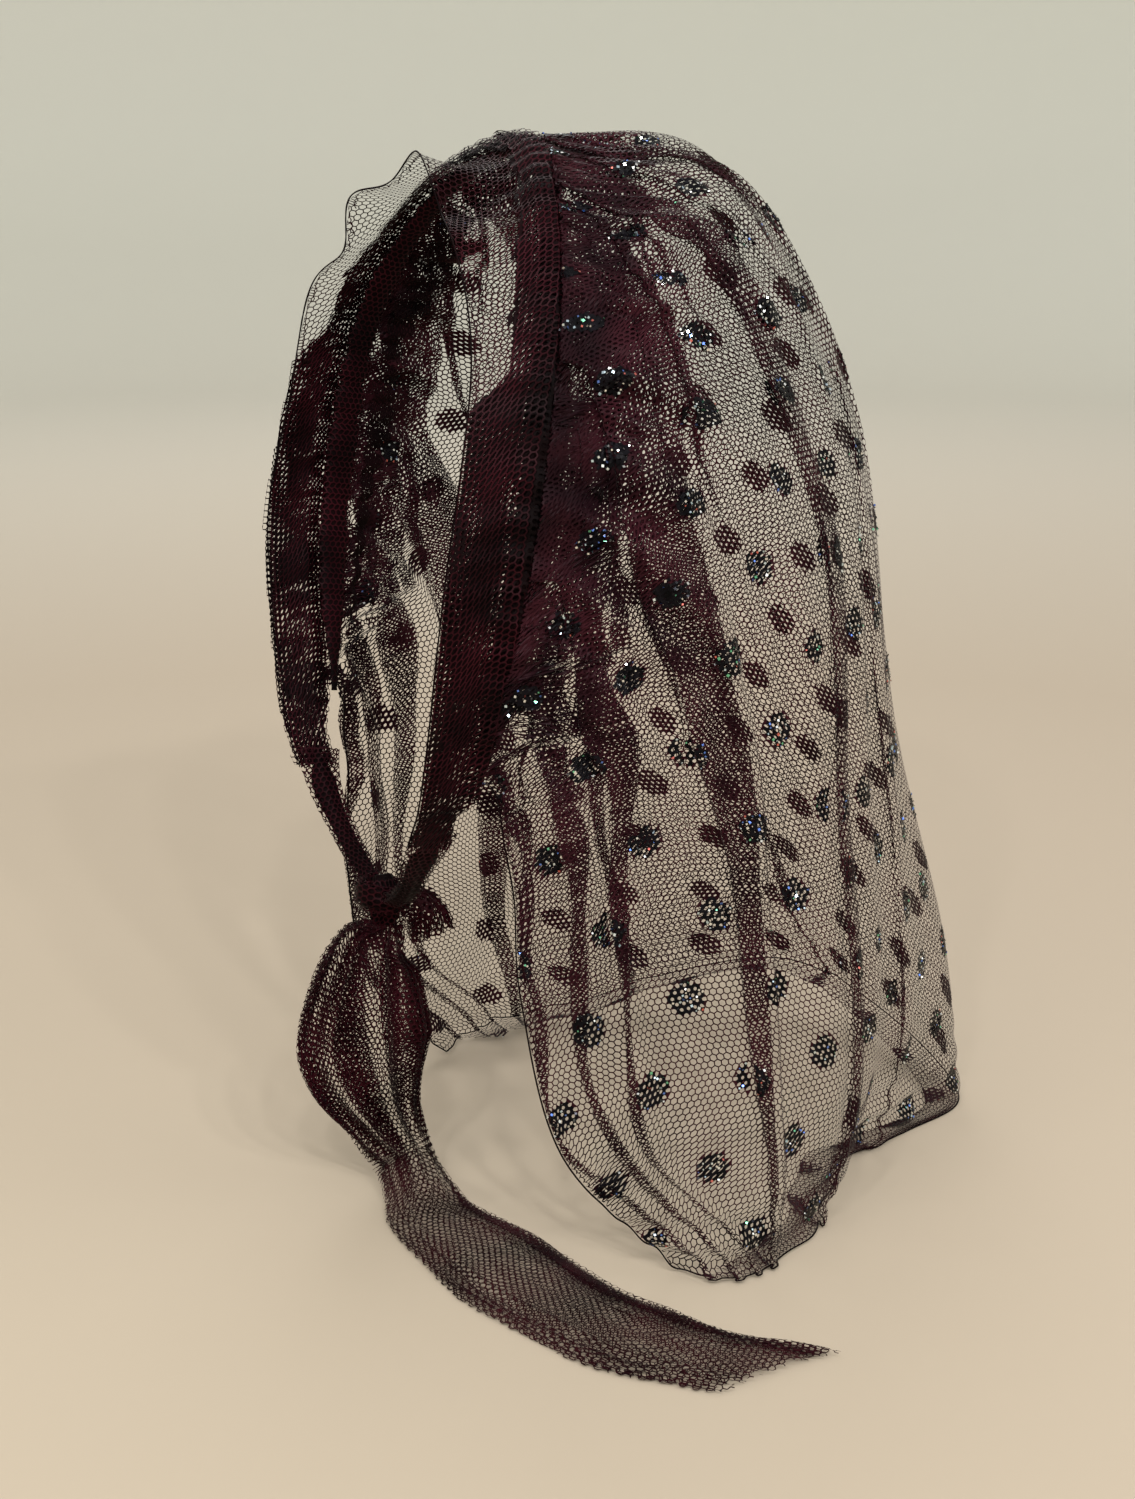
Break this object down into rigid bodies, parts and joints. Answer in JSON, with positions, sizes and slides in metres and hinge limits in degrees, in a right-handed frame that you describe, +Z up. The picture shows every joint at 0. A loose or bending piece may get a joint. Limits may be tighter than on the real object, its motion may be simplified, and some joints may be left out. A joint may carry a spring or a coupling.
{
  "type": "hair snood",
  "caption": "Long hood-like hair snood of soft dotted net, gathered to a plain net band that ties under the chin with one long free end.",
  "frame": {"origin": "the crown of the wearer's head, where the gathered seam passes over it", "axes": "+Z up, the wearer looks along -Y, +X is the wearer's left"},
  "size_m": [0.2651, 0.2422, 0.3265],
  "materials": {
    "dotted_net": "dark burgundy hexagonal net with round black glitter dots",
    "plain_net": "plain dark burgundy hexagonal net",
    "gathered_net": "many layers of burgundy net, nearly black"
  },
  "bodies": {
    "root": {"bag": "dotted_net", "gathered_seam": "gathered_net", "front_band": "plain_net", "left_tie": "plain_net", "right_tie": "plain_net", "chin_knot": "gathered_net", "long_tail": "plain_net", "short_tail": "plain_net"}
  },
  "joints": []
}
